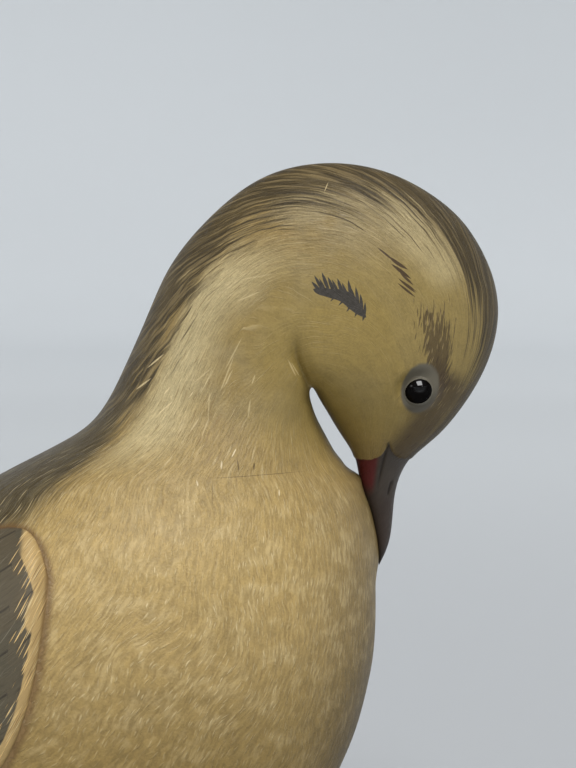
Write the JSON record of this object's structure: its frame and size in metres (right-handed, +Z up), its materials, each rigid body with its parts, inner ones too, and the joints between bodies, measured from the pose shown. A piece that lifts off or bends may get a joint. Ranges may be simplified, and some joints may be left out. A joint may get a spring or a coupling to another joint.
{
  "type": "carved dove",
  "caption": "Life-size carved and painted wooden dove at rest, with its head tucked down, its bill on its breast, folded wings, a stepped tail and glass eyes.",
  "frame": {"origin": "middle of the flat underside that the dove stands on", "axes": "+X the way the breast points, +Y the bird's left, +Z up"},
  "size_m": [0.2774, 0.0696, 0.1295],
  "materials": {
    "painted_body": "satin oil paint in buff and grey brown over carved wood",
    "painted_head": "satin oil paint in olive buff and brown over carved wood",
    "eye_glass": "polished black glass"
  },
  "bodies": {
    "root": {"body": "painted_body", "head": "painted_head", "eye_right": "eye_glass", "eye_left": "eye_glass"}
  },
  "joints": []
}
